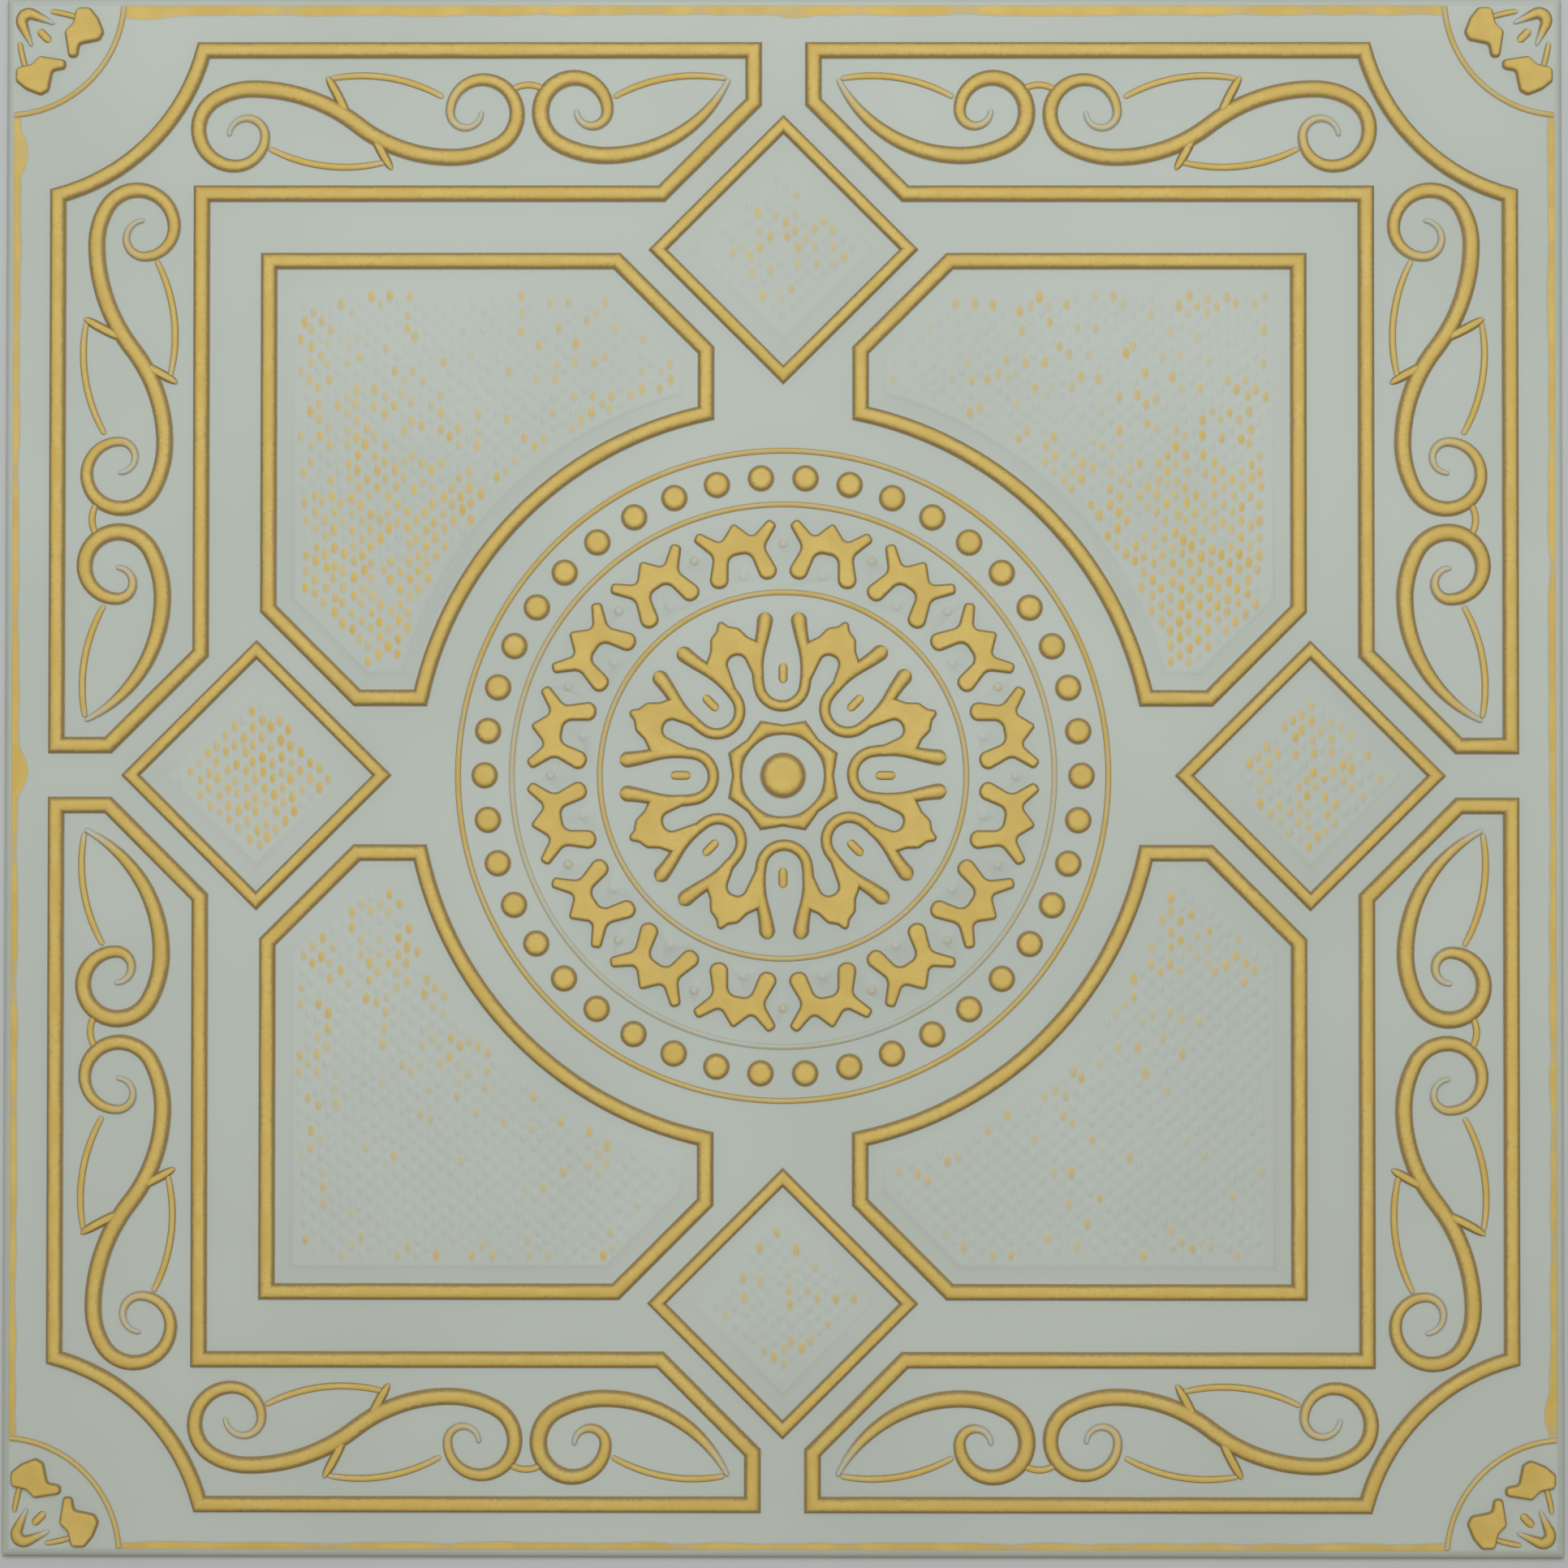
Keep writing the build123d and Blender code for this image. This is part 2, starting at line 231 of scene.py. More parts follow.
class PaintColours(bpy.types.PropertyGroup):
    """Colours of the foam and its paint."""
    foam: colour("Foam", "Pale sage of the bare foam", 180, 184, 172)
    foam_shade: colour("Foam shade", "Its darker clouds", 175, 179, 167)
    gold: colour("Gold", "Full coat of the rolled paint", 203, 173, 90)
    gold_shade: colour("Gold shade", "Its duller clouds", 194, 163, 81)
    # Darker brown on the ridges' flanks: partly thin paint, partly painted shade of the flanks.
    flank_film_and_shade: colour("Film", "Dull paint on the flanks", 146, 120, 72)
    foam_roughness: share("Foam roughness", "Roughness of the bare foam", 0.85)
    gold_roughness: share("Gold roughness", "Roughness of the full coat", 0.6)


class StageSettings(bpy.types.PropertyGroup):
    """Floor, light and camera."""
    floor: colour("Floor", "Colour of the floor", 184, 184, 179)
    key: colour("Key light", "Colour of the soft light over the upper side", 226, 238, 255)
    key_power: FloatProperty(name="Key power", description="Power of the soft light", default=12.0,
                             unit="POWER")
    key_size: length("Key size", "Side of the soft light", 700.0)
    key_height: length("Key height", "Height of the soft light over the floor", 1200.0)
    key_forward: length("Key forward", "Distance of the soft light towards the upper side", 400.0)
    sky: colour("Sky", "Colour of the light from all round", 255, 250, 238)
    sky_strength: FloatProperty(name="Sky strength", description="Strength of that light", default=0.5, min=0.0)
    camera_height: length("Camera height", "Height of the camera over the face", 1200.0)
    camera_right: length("Camera right", "Camera's place right of the middle", 5.57)
    camera_back: length("Camera back", "Camera's place below the middle", 20.82)
    lens: FloatProperty(name="Lens", description="Focal length on a 36 mm sensor", default=85.95, unit="CAMERA")


Shell = namedtuple("Shell", "points looks quads caps")


def unit(vectors):
    """Vectors of length one."""
    return vectors / np.linalg.norm(vectors, axis=-1, keepdims=True)


def left_of(vectors):
    """Plane vectors turned a quarter to the left."""
    return np.stack([-vectors[..., 1], vectors[..., 0]], axis=-1)


def turn(degrees):
    """Matrix of a turn in the plane."""
    angle = math.radians(degrees)
    return np.array([[math.cos(angle), -math.sin(angle)], [math.sin(angle), math.cos(angle)]])


DIAGONAL_MIRROR = np.array([[0.0, -1.0], [-1.0, 0.0]])
QUARTERS = [turn(90 * k) for k in range(4)]


def stack(loops, paint, crown, ring=False):
    """Closed surface through a stack of closed loops, an array of loops by points by 3.

    Quads join point k of a loop to point k of the next. A ring also joins the last loop to the first;
    otherwise one face closes each end. Paint and share of the crown's height are kept as the looks of a point.
    """
    count, points = loops.shape[:2]
    index = np.arange(count * points).reshape(count, points)
    lower, upper = (index, np.roll(index, -1, axis=0)) if ring else (index[:-1], index[1:])
    quads = np.stack([lower, np.roll(lower, -1, 1), np.roll(upper, -1, 1), upper], axis=-1).reshape(-1, 4)
    caps = [] if ring else [index[0][::-1], index[-1]]
    looks = np.stack([np.broadcast_to(value, (count, points)).ravel() for value in (paint, crown)], axis=-1)
    return Shell(loops.reshape(-1, 3), looks, quads, caps)


def placed(shell, matrix=np.eye(2), shift=(0.0, 0.0)):
    """Shell moved in the plane, then turned or mirrored by a matrix."""
    flat = (shell.points[:, :2] + np.array(shift)) @ matrix.T
    return shell._replace(points=np.column_stack([flat, shell.points[:, 2]]))


def round_copies(shell, count, first=0.0):
    """Equal copies about the tile's middle, the first turned by an angle in degrees."""
    return [placed(shell, turn(first + 360 * k / count)) for k in range(count)]


def eight_copies(shell, shift):
    """Copies of a shell in all four quarters, each with its mirror image about the quarter's diagonal."""
    moved = placed(shell, shift=shift)
    return [placed(moved, quarter @ mirror) for mirror in (np.eye(2), DIAGONAL_MIRROR) for quarter in QUARTERS]


def four_copies(shell, shift):
    """Copies of a shell in all four quarters."""
    moved = placed(shell, shift=shift)
    return [placed(moved, quarter) for quarter in QUARTERS]


def volume(shell):
    """Signed volume, the sum of a . (b x c) / 6 over the surface's triangles."""
    a, b, c, d = (shell.points[shell.quads[:, k]] for k in range(4))
    total = np.einsum("ij,ij->", a, np.cross(b, c)) + np.einsum("ij,ij->", a, np.cross(c, d))
    for cap in shell.caps:
        rim = shell.points[cap]
        total += np.einsum("j,ij->", rim[0], np.cross(rim[1:-1], rim[2:]))
    return total / 6


def mesh_of(name, shells, lift=0.0):
    """One mesh of many shells, each turned right side out by the sign of its volume."""
    points, looks, faces, offset = [], [], [], 0
    for shell in shells:
        step = -1 if volume(shell) < 0 else 1
        faces += (shell.quads[:, ::step] + offset).tolist()
        faces += [(cap[::step] + offset).tolist() for cap in shell.caps]
        points.append(shell.points + (0.0, 0.0, lift))
        looks.append(shell.looks)
        offset += len(shell.points)
    mesh = bpy.data.meshes.new(name)
    mesh.from_pydata(np.concatenate(points).tolist(), [], faces)
    corners = np.empty(len(mesh.loops), np.int32)
    mesh.loops.foreach_get("vertex_index", corners)
    for name, values in zip((PAINT, CROWN), np.concatenate(looks)[corners].T):
        attribute = mesh.attributes.new(name, "FLOAT", "CORNER")
        attribute.data.foreach_set("value", values.astype(np.float32))
    return mesh


def new_object(name, mesh):
    """Object at the origin that shows a mesh."""
    piece = bpy.data.objects.new(name, mesh)
    bpy.context.scene.collection.objects.link(piece)
    return piece


def section(power, count):
    """Section of a ridge from one root over the crown to the other, as shares of half width and height.

    The hump is up = 1 - |across|^power, and one point on each side goes down below the face.
    """
    across = np.sin(np.linspace(-np.pi / 2, np.pi / 2, count))
    root = np.zeros(count + 2)
    root[[0, -1]] = 1
    return np.pad(across, 1, mode="edge"), np.pad(1 - np.abs(across) ** power, 1), root


def carried(path, left, half, height, power, paint, flank_dull_and_shade=1.0, count=9, ring=False):
    """Section carried along a path: point = path + across * half * left, z = up * height, roots sunk.

    Half width, height and paint may change along the path. Low ridges get less of the darker flank colour,
    which is partly duller paint and partly painted shade.
    """
    across, up, root = section(power, count)
    half, height, paint = (np.broadcast_to(v, len(path))[:, None] for v in (half, height, paint))
    flat = path[:, None] + left[:, None] * (half * across)[..., None]
    return stack(np.dstack([flat, height * up - ROOT_DEPTH * root]), paint, 1 - flank_dull_and_shade * (1 - up), ring)


def arc_chain(start, heading, legs):
    """Stations along a chain of tangent arcs: points, headings in radians, and length so far."""
    point, angle = np.array(start) * MM, math.radians(heading)
    points, angles = [point[None]], [np.array([angle])]
    for radius, turn_degrees in legs:
        swing = math.radians(turn_degrees)
        reach = math.copysign(radius * MM, swing)
        count = max(math.ceil(abs(turn_degrees) / ARC_STEP), math.ceil(abs(reach * swing) / STATION_PITCH))
        along = angle + swing * np.arange(1, count + 1) / count
        centre = point + reach * np.array([-math.sin(angle), math.cos(angle)])
        points.append(centre + reach * np.stack([np.sin(along), -np.cos(along)], axis=-1))
        angles.append(along)
        point, angle = points[-1][-1], along[-1]
    path, angles = np.concatenate(points), np.concatenate(angles)
    run = np.concatenate([[0.0], np.cumsum(np.linalg.norm(np.diff(path, axis=0), axis=1))])
    return path, angles, run


def round_ended(path, angles, run, radius):
    """Stations of a chain with more of them near both ends, at radius * (1 - cos a) from the end."""
    near = radius * (1 - np.cos(np.linspace(0, np.pi / 2, END_STATIONS)))
    inner = run[(run > 1.2 * radius) & (run < run[-1] - 1.2 * radius)]
    along = np.concatenate([near, inner, run[-1] - near[::-1]])
    x, y, heading = (np.interp(along, run, values) for values in (*path.T, angles))
    left = np.stack([-np.sin(heading), np.cos(heading)], axis=-1)
    return np.stack([x, y], axis=-1), left, along


def stroke(route, width, end_width, height, paint=1.0, end_paint=1.0, hold=4, flank_dull_and_shade=1.0, count=9):
    """Ridge along a chain of arcs with round ends.

    The width falls from the middle to the ends with |2 s - 1|^hold, s being the share of the length. The paint
    fades in the same way, and the height falls with the width. A round end is half a circle across.
    """
    path, left, run = round_ended(*arc_chain(*route), end_width / 2)
    fall = np.abs(2 * run / run[-1] - 1) ** hold
    wide = width - (width - end_width) * fall
    to_end = np.minimum(run, run[-1] - run)
    tip = np.sqrt(np.clip(1 - (1 - 2 * to_end / wide).clip(0) ** 2, 0.03, 1))
    lift = height * (0.45 + 0.55 * np.minimum(wide / width, 1)) * (0.3 + 0.7 * tip)
    strength = paint - (paint - end_paint) * fall
    return carried(path, left, wide * tip / 2, lift, 2.9, strength, flank_dull_and_shade, count)


def arc(centre, radius, first, last, count=None):
    """Points of an arc between two angles in radians."""
    count = count or max(2, math.ceil(math.degrees(abs(last - first)) / ARC_STEP * 2)) + 1
    angle = np.linspace(first, last, count)
    return np.array(centre) + radius * np.stack([np.cos(angle), np.sin(angle)], axis=-1)


def circle(radius, sides):
    """Points of a circle about the origin, counter-clockwise."""
    angle = 2 * np.pi * np.arange(sides) / sides
    return radius * np.stack([np.cos(angle), np.sin(angle)], axis=-1)


def mitres(outline):
    """Inward vectors at the points of a counter-clockwise outline that move both sides of a corner alike."""
    before = left_of(unit(outline - np.roll(outline, 1, axis=0)))
    after = np.roll(before, -1, axis=0)
    return (before + after) / (1 + np.sum(before * after, axis=1, keepdims=True))


def rounded(corners):
    """Outline through corners given as x, y and radius in mm, each corner replaced by a tangent arc."""
    rows = np.array(corners)
    places, radii = rows[:, :2], rows[:, 2]
    back, ahead = unit(np.roll(places, 1, 0) - places), unit(np.roll(places, -1, 0) - places)
    half = np.arccos(np.clip(np.sum(back * ahead, axis=1), -1, 1)) / 2
    points = []
    for place, radius, b, a, h in zip(places, radii, back, ahead, half):
        middle = place + unit(a + b) * radius / math.sin(h)
        start = place + b * radius / math.tan(h) - middle
        end = place + a * radius / math.tan(h) - middle
        first = math.atan2(start[1], start[0])
        swing = (math.atan2(end[1], end[0]) - first + math.pi) % (2 * math.pi) - math.pi
        points.append(arc(middle, radius, first, first + swing, 2 + math.ceil(math.degrees(abs(swing)) / FILLET_STEP)))
    return np.concatenate(points) * MM


def mirrored(half, tip):
    """Outline from its right half, listed from foot to tip, and its tip on the axis."""
    left = [(-x, y, radius) for x, y, radius in half[::-1]]
    return rounded(half + [tip] + left)


def rounded_edge(height, edge, power=1.9, steps=6):
    """Insets and heights of a rounded edge: edge * d inwards, height * (1 - (1 - d)^power) up, d from 0 to 1.

    One more step on the crown keeps its rim flat, and the first one goes down below the face.
    """
    inward = 1 - np.cos(np.linspace(0, np.pi / 2, steps))
    up = 1 - (1 - inward) ** power
    inset = edge * np.concatenate([[0], inward, [1.12]])
    return inset, height * np.concatenate([[-ROOT_DEPTH / height], up, [1]])


def mound(outline, height, edge, paint=1.0, steps=6):
    """Flat-topped ornament: loops follow the outline moved inwards and up by the steps of a rounded edge."""
    inset, z = rounded_edge(height, edge, steps=steps)
    flat = outline[None] + inset[:, None, None] * mitres(outline)[None]
    loops = np.dstack([flat, np.broadcast_to(z[:, None], flat.shape[:2])])
    return stack(loops, paint, np.clip(z / height, 0, 1)[:, None])


def frame_outline(sizes):
    """Upper left angle between the outer and inner rails, hollowed at the tile's corner, counter-clockwise."""
    outer = HALF - sizes.frame_inset
    inner = outer - sizes.frame_band
    gap = sizes.frame_gap
    peak = HALF - sizes.diamond_inset + sizes.diamond_reach + sizes.clearance * math.sqrt(2)
    first = -math.acos(sizes.frame_inset / sizes.corner_radius)
    hollow = arc((-HALF, HALF), sizes.corner_radius, first, -math.pi / 2 - first)
    straight = [(-gap, outer), (-gap, peak - gap), (inner - peak, inner), (-inner, inner),
                (-inner, peak - inner), (gap - peak, gap), (-outer, gap)]
    return np.concatenate([straight, hollow])[::-1]


def panel_outline(sizes, margin=0.0):
    """Upper left panel beside the medallion, cut back along the diamonds, counter-clockwise.

    A margin moves all its sides inwards, square to themselves.
    """
    side = HALF - sizes.panel_inset - margin
    gap = sizes.panel_gap + margin
    low = HALF - sizes.diamond_inset - sizes.diamond_reach - (sizes.clearance + margin) * math.sqrt(2)
    radius = sizes.panel_radius + margin
    first = math.pi - math.acos(gap / radius)
    hollow = arc((0, 0), radius, first, 1.5 * math.pi - first, HOLLOW_POINTS)
    upper = [(-side, side), (low - side, side), (-gap, low + gap)]
    lower = [(-low - gap, gap), (-side, side - low)]
    return np.concatenate([upper, hollow, lower])[::-1]


def diamond_outline(sizes, margin=0.0):
    """Square on its corner towards the middle of the upper side, its sides a margin inwards, counter-clockwise."""
    middle, reach = HALF - sizes.diamond_inset, sizes.diamond_reach - margin * math.sqrt(2)
    return np.array([(reach, middle), (0, middle + reach), (-reach, middle), (0, middle - reach)])


def bed(outline, sizes):
    """Low stippled bed: loops are outlines at growing margins from the rail, up a rounded edge."""
    inset, z = rounded_edge(sizes.pad_height, sizes.pad_edge)
    flat = [outline(sizes, sizes.pad_margin + step) for step in inset]
    loops = [np.column_stack([loop, np.full(len(loop), height)]) for loop, height in zip(flat, z)]
    return stack(np.array(loops), 0.0, 0.0)


def rail(outline, width, height):
    """Ridge along a closed outline, mitred at its corners."""
    return carried(outline, mitres(outline), width / 2, height, power=3.0, paint=1.0, count=13, ring=True)


def ring(radius, width, height, paint, fade):
    """Thin turned ridge round the origin, its paint fading from the upper side to the lower one."""
    path = circle(radius, 180)
    paint = paint + fade * path[:, 1] / radius
    return carried(path, unit(path), width / 2, height, power=2.4, paint=paint, flank_dull_and_shade=0.4, count=7, ring=True)


def star_ring(sizes):
    """Ring between its bore and a star with straight sides.

    With a the angle from a valley and b that from valley to tip, the star's radius is
    v t sin b / (v sin a + t sin(b - a)), v and t being the radii of valley and tip.
    """
    step = np.pi / 8
    around = 2 * np.pi * np.arange(192) / 192
    from_valley = np.abs((around + step) % (2 * step) - step)
    v, t = sizes.star_valley, sizes.star_tip
    outer = v * t * math.sin(step) / (v * np.sin(from_valley) + t * np.sin(step - from_valley))
    direction = np.stack([np.cos(around), np.sin(around)], axis=-1)
    middle, half = (outer + sizes.star_bore) / 2, (outer - sizes.star_bore) / 2
    return carried(direction * middle[:, None], direction, half, sizes.leaf_height, 3.0, 1.0, ring=True)


def rails_and_pads(sizes):
    """Rails of the frame angles, panels and diamonds, and the stippled beds inside the last two."""
    shells = [
        rail(frame_outline(sizes), sizes.width, sizes.height),
        rail(panel_outline(sizes), sizes.width, sizes.height),
        rail(diamond_outline(sizes), sizes.diamond_width, sizes.height),
        bed(panel_outline, sizes),
        bed(diamond_outline, sizes),
    ]
    return [copy for shell in shells for copy in round_copies(shell, 4)]


def medallion(sizes):
    """Rings, beads, palmettes, leaves, star ring, boss, and the small dots and eyes between them."""
    rings = [(sizes.outer_ring, 0.6, 0.0), (sizes.inner_ring, 0.43, 0.16), (sizes.rosette_ring, 0.56, 0.03)]
    shells = [ring(radius, sizes.ring_width, sizes.ring_height, paint, fade) for radius, paint, fade in rings]
    shells.append(star_ring(sizes))
    shells.append(mound(circle(sizes.boss_radius, 48), sizes.boss_height, 0.42 * sizes.boss_radius, steps=8))
    bead = mound(circle(sizes.bead_diameter / 2, 28), sizes.bead_height, sizes.bead_edge, steps=6)
    bead_circle = (sizes.outer_ring + sizes.inner_ring) / 2
    shells += round_copies(placed(bead, shift=(bead_circle, 0)), sizes.bead_count)
    palmette = mound(mirrored(PALMETTE_HALF, PALMETTE_TIP), sizes.leaf_height, sizes.leaf_edge)
    shells += round_copies(palmette, 16, 11.25)
    leaf = mound(mirrored(LEAF_HALF, LEAF_TIP), 0.99 * sizes.leaf_height, sizes.leaf_edge)
    shells += round_copies(leaf, 8, 22.5)
    dot = mound(circle(sizes.dot_diameter / 2, 14), sizes.dot_height, sizes.dot_diameter * 0.4, paint=0.3)
    shells += round_copies(placed(dot, shift=(0, sizes.outer_dots)), 16)
    plain_dot = dot._replace(looks=dot.looks * (0.3, 1))
    shells += round_copies(placed(plain_dot, shift=(0, sizes.inner_dots)), 16, 11.25)
    shells += round_copies(stroke(EYE, 3.0 * MM, 2.4 * MM, 0.8 * MM, 0.75, 0.6, flank_dull_and_shade=0.7), 8)
    return shells


def loops(sizes):
    """The rosette's U-shaped loops, each with two arms that run into the leaves."""
    loop = stroke(LOOP, 0.86 * sizes.loop_width, 1.36 * sizes.loop_width, sizes.leaf_height)
    return round_copies(loop, 8)


def scrolls(rails, sizes):
    """S and C scrolls of all eight arms, then their sprigs, then their tendrils, as three lists."""
    inner = HALF - rails.frame_inset - rails.frame_band
    shift = (-(inner + rails.frame_gap) / 2, inner + rails.frame_band / 2)
    big = [stroke(route, sizes.width, sizes.end_width, sizes.height, 1.0, 0.3, hold=3)
           for route in (S_SCROLL, C_SCROLL)]
    sprigs = [stroke(route, sizes.sprig_width, 0.35 * sizes.sprig_width, sizes.sprig_height, 0.9, 0.5, count=7)
              for route in SPRIGS]
    thin = [stroke(route, sizes.tendril_width, 0.8 * sizes.tendril_width, sizes.tendril_height, 0.7, 0.5,
                   flank_dull_and_shade=0.5, count=7) for route in TENDRILS]
    return [[copy for shell in group for copy in eight_copies(shell, shift)] for group in (big, sprigs, thin)]


def corner_rosettes(sheet, sizes):
    """Quarter rosettes at the tile's corners: leaf pairs, a loop, an eye and a quarter of a ring."""
    corner = (-HALF, HALF)
    leaf = mound(rounded(CORNER_LEAF), sizes.leaf_height, sizes.leaf_edge)
    shells = eight_copies(leaf, corner)
    clear = math.asin((sheet.rim_bevel + 0.3 * MM) / sizes.corner_ring)
    path = arc((0, 0), sizes.corner_ring, -clear, clear - math.pi / 2)
    quarter = carried(path, unit(path), sizes.ring_width / 2, sizes.ring_height, 2.4, 0.58, flank_dull_and_shade=0.4, count=7)
    shells += four_copies(quarter, corner)
    loop = stroke(CORNER_LOOP, 4.7 * MM, 1.2 * MM, 1.8 * MM, 1.0, 0.25, hold=1.2)
    eye = stroke(CORNER_EYE, 2.8 * MM, 2.2 * MM, 0.8 * MM, 0.7, 0.5, flank_dull_and_shade=0.7)
    shells += four_copies(placed(loop, turn(-135)), corner) + four_copies(eye, corner)
    tendril = stroke(CORNER_TENDRIL, 2.2 * MM, 1.4 * MM, 0.8 * MM, 0.7, 0.4, count=7)
    return shells, eight_copies(tendril, corner)


def sheet_shell(sheet):
    """Square sheet as a stack of squares from the back, up the side, over the sloping rim to the face."""
    bevel, rim, top = sheet.rim_bevel, sheet.rim_thickness, sheet.thickness
    rise = top - rim
    steps = [(0.0, 0.0), (0.0, rim - 0.25 * MM), (0.25 * MM, rim + 0.1 * rise), (0.82 * bevel, rim + 0.86 * rise),
             (bevel, rim + 0.97 * rise), (1.25 * bevel, top)]
    signs = np.array([(1, 1), (-1, 1), (-1, -1), (1, -1)])
    squares = [np.column_stack([signs * (HALF - inset), np.full(4, z)]) for inset, z in steps]
    return stack(np.array(squares), 0.0, 0.0)


def smooth(mesh):
    """Smooth shading, apart from creases."""
    mesh.polygons.foreach_set("use_smooth", np.ones(len(mesh.polygons), bool))
    mesh.set_sharp_from_angle(angle=CREASE)


def unite(base, layers):
    """Joins the layers of ornament to the sheet as one skin and gives it to the base object."""
    plain_faces = len(base.data.polygons)
    for layer in layers:
        modifier = base.modifiers.new(layer.name, "BOOLEAN")
        modifier.operation = "UNION"
        modifier.solver = "MANIFOLD"
        modifier.object = layer
    graph = bpy.context.evaluated_depsgraph_get()
    skin = bpy.data.meshes.new_from_object(base.evaluated_get(graph))
    base.modifiers.clear()
    base.data = skin
    for layer in layers:
        bpy.data.objects.remove(layer)
    if len(skin.polygons) <= plain_faces:
        raise RuntimeError("the ornament could not be joined to the sheet")
    smooth(skin)


def add(tree, kind, inputs=None, **settings):
    """New node with its settings; an input takes a value or another node's socket."""
    node = tree.nodes.new(kind)
    for key, value in settings.items():
        setattr(node, key, value)
    for key, value in (inputs or {}).items():
        if isinstance(value, bpy.types.NodeSocket):
            tree.links.new(value, node.inputs[key])
        else:
            node.inputs[key].default_value = value
    return node


def calc(tree, operation, first, second=0.0, third=0.0):
    """Output of a Math node."""
    return add(tree, "ShaderNodeMath", {0: first, 1: second, 2: third}, operation=operation).outputs[0]


def ramp(tree, value, low, high, start=0.0, end=1.0):
    """Output of a smooth step from start to end as the value goes from low to high."""
    inputs = {"Value": value, "From Min": low, "From Max": high, "To Min": start, "To Max": end}
    return add(tree, "ShaderNodeMapRange", inputs, interpolation_type="SMOOTHSTEP").outputs["Result"]


def mix(tree, factor, first, second):
    """Output of a colour mix."""
    return add(tree, "ShaderNodeMix", {0: factor, 6: first, 7: second}, data_type="RGBA").outputs[2]


def noise(tree, place, scale, detail=2.0):
    """Value of a noise texture about 0.5; the scale is in features a metre."""
    return add(tree, "ShaderNodeTexNoise", {"Vector": place, "Scale": scale, "Detail": detail}).outputs[0]


def solid(value):
    """Colour with full alpha."""
    return (*value, 1.0)


def new_material(name):
    """Empty node material and its shader."""
    material = bpy.data.materials.new(name)
    material.use_nodes = True
    tree = material.node_tree
    return material, tree, tree.nodes["Principled BSDF"]


def clouds_group():
    """Node group of soft clouds, in which a noise of some scale blends two colours."""
    group = bpy.data.node_groups.new("clouds", "ShaderNodeTree")
    for name, kind in (("Place", "Vector"), ("Scale", "Float"), ("Light", "Color"), ("Dark", "Color")):
        group.interface.new_socket(name, in_out="INPUT", socket_type="NodeSocket" + kind)
    for name, kind in (("Colour", "Color"), ("Cloud", "Float")):
        group.interface.new_socket(name, in_out="OUTPUT", socket_type="NodeSocket" + kind)
    given = group.nodes.new("NodeGroupInput").outputs
    cloud = noise(group, given["Place"], given["Scale"])
    blend = mix(group, ramp(group, cloud, 0.32, 0.68), given["Light"], given["Dark"])
    add(group, "NodeGroupOutput", {"Colour": blend, "Cloud": cloud})
    return group


def clouds(tree, place, scale, light, dark):
    """Colour and noise value of the clouds group, placed with its own scale and colours."""
    group = bpy.data.node_groups.get("clouds") or clouds_group()
    inputs = {"Place": place, "Scale": scale, "Light": solid(light), "Dark": solid(dark)}
    return add(tree, "ShaderNodeGroup", inputs, node_tree=group).outputs


def edge_paint(tree, place):
    """Paint that the roller left along the edges of the face between the corner rings, with its smears."""
    xyz = add(tree, "ShaderNodeSeparateXYZ", {0: place})
    across, up = (calc(tree, "ABSOLUTE", xyz.outputs[axis]) for axis in ("X", "Y"))
    far, near = calc(tree, "MAXIMUM", across, up), calc(tree, "MINIMUM", across, up)
    wide = ramp(tree, xyz.outputs["Y"], HALF - 9 * MM, HALF - 5 * MM, 2.1 * MM, 3.2 * MM)
    for x, y, reach, depth in EDGE_SMEARS:
        spot = (x * MM, y * MM, 4 * MM)
        away = add(tree, "ShaderNodeVectorMath", {0: place, 1: spot}, operation="DISTANCE").outputs["Value"]
        wide = calc(tree, "ADD", wide, ramp(tree, away, 0.0, reach * MM, depth * MM, 0.0))
    uneven = noise(tree, place, 60.0)
    wide = calc(tree, "MULTIPLY_ADD", calc(tree, "SUBTRACT", uneven, 0.5), 2.0 * MM, wide)
    line = ramp(tree, calc(tree, "ADD", far, wide), HALF - 3.0 * MM, HALF - 1.8 * MM)
    line = calc(tree, "MULTIPLY", line, ramp(tree, far, HALF - 2.7 * MM, HALF - 2.0 * MM, 1.0, 0.0))
    line = calc(tree, "MULTIPLY", line, ramp(tree, near, HALF - 40 * MM, HALF - 36 * MM, 1.0, 0.0))
    return calc(tree, "MULTIPLY", line, ramp(tree, uneven, 0.25, 0.5, 0.75, 1.0))


